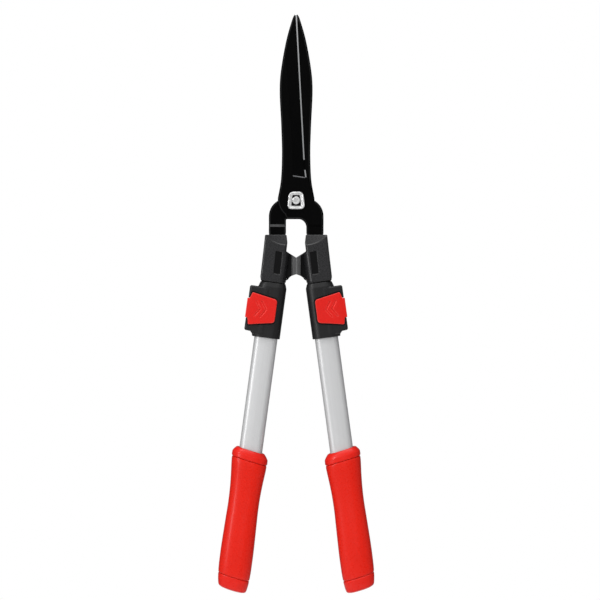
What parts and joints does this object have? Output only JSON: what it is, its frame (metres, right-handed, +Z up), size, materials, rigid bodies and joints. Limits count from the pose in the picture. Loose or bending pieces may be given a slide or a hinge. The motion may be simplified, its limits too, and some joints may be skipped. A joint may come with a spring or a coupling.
{
  "type": "hedge shears",
  "caption": "Two-handed hedge shears with straight black blades, telescoping flat-oval aluminium handles, push-button locks and red grips, blades closed.",
  "frame": {"origin": "middle of the flat underside of the pivot plates, where the shears hang on a peg", "axes": "+Z up along the tool towards the blade tips, -Y towards the front with the pivot bolt head, +X towards the handle of the front blade"},
  "size_m": [0.1876, 0.0304, 0.6938],
  "materials": {
    "blade_coating": "black satin coating",
    "bright_steel": "satin steel",
    "spring_steel": "dark spring steel",
    "aluminium": "satin anodised",
    "housing_plastic": "dark grey, fine moulded texture",
    "collar_plastic": "black, fine moulded texture",
    "bumper_rubber": "grey, matt",
    "guide_plastic": "off-white, smooth",
    "red_plastic": "red, satin gloss",
    "red_grip_rubber": "red, soft matt"
  },
  "bodies": {
    "front_blade_side": {"front_blade": "blade_coating", "pivot_bezel": "bright_steel", "pivot_bolt": "bright_steel", "pivot_bushing": "bright_steel", "pivot_washer": "bright_steel", "pivot_spring_washer": "spring_steel", "pivot_nut": "bright_steel", "right_housing_front": "housing_plastic", "right_housing_back": "housing_plastic", "right_housing_screw_upper": "bright_steel", "right_housing_screw_lower": "bright_steel", "right_bumper": "bumper_rubber", "right_tang_adapter": "collar_plastic", "right_tang_rivet_upper": "bright_steel", "right_tang_rivet_lower": "bright_steel", "right_inner_tube": "aluminium", "right_tube_plug": "guide_plastic"},
    "rear_blade_side": {"rear_blade": "blade_coating", "left_housing_front": "housing_plastic", "left_housing_back": "housing_plastic", "left_housing_screw_upper": "bright_steel", "left_housing_screw_lower": "bright_steel", "left_bumper": "bumper_rubber", "left_tang_adapter": "collar_plastic", "left_tang_rivet_upper": "bright_steel", "left_tang_rivet_lower": "bright_steel", "left_inner_tube": "aluminium", "left_tube_plug": "guide_plastic"},
    "right_grip_side": {"right_outer_tube": "aluminium", "right_slide_bush": "guide_plastic", "right_collar_front": "collar_plastic", "right_collar_back": "collar_plastic", "right_collar_screw_upper": "bright_steel", "right_collar_screw_lower": "bright_steel", "right_pawl_pin": "bright_steel", "right_lock_spring": "spring_steel", "right_grip_core": "red_plastic", "right_grip_sleeve": "red_grip_rubber", "right_grip_end_cap": "red_plastic"},
    "right_button": {"right_lock_button": "red_plastic"},
    "right_pawl": {"right_lock_pawl": "bright_steel"},
    "left_grip_side": {"left_outer_tube": "aluminium", "left_slide_bush": "guide_plastic", "left_collar_front": "collar_plastic", "left_collar_back": "collar_plastic", "left_collar_screw_upper": "bright_steel", "left_collar_screw_lower": "bright_steel", "left_pawl_pin": "bright_steel", "left_lock_spring": "spring_steel", "left_grip_core": "red_plastic", "left_grip_sleeve": "red_grip_rubber", "left_grip_end_cap": "red_plastic"},
    "left_button": {"left_lock_button": "red_plastic"},
    "left_pawl": {"left_lock_pawl": "bright_steel"}
  },
  "joints": [
    {"name": "blade_pivot", "type": "hinge", "parent": "front_blade_side", "child": "rear_blade_side", "pos_m": [0, 0, 0.022], "axis": [0, 1, 0], "range_deg": [0, 45]},
    {"name": "right_extension", "type": "slide", "parent": "front_blade_side", "child": "right_grip_side", "axis": [0.134, 0, -0.991], "range_m": [0, 0.2]},
    {"name": "right_button_press", "type": "slide", "parent": "right_grip_side", "child": "right_button", "axis": [-0.991, 0, -0.134], "range_m": [0, 0.0025], "stiffness_N_per_m": 800, "springref_m": -0.003, "deforming": ["right_lock_spring"]},
    {"name": "right_pawl_rock", "type": "hinge", "parent": "right_grip_side", "child": "right_pawl", "pos_m": [0.04806, 0, -0.10579], "axis": [0, -1, 0], "range_deg": [0, 16]},
    {"name": "left_extension", "type": "slide", "parent": "rear_blade_side", "child": "left_grip_side", "axis": [-0.134, 0, -0.991], "range_m": [0, 0.2]},
    {"name": "left_button_press", "type": "slide", "parent": "left_grip_side", "child": "left_button", "axis": [0.991, 0, -0.134], "range_m": [0, 0.0025], "stiffness_N_per_m": 800, "springref_m": -0.003, "deforming": ["left_lock_spring"]},
    {"name": "left_pawl_rock", "type": "hinge", "parent": "left_grip_side", "child": "left_pawl", "pos_m": [-0.04806, 0, -0.10579], "axis": [0, 1, 0], "range_deg": [0, 16]}
  ],
  "couplings": [
    {"joint": "right_pawl_rock", "follows": "right_button_press", "rad_per_m": 111},
    {"joint": "left_pawl_rock", "follows": "left_button_press", "rad_per_m": 111}
  ]
}
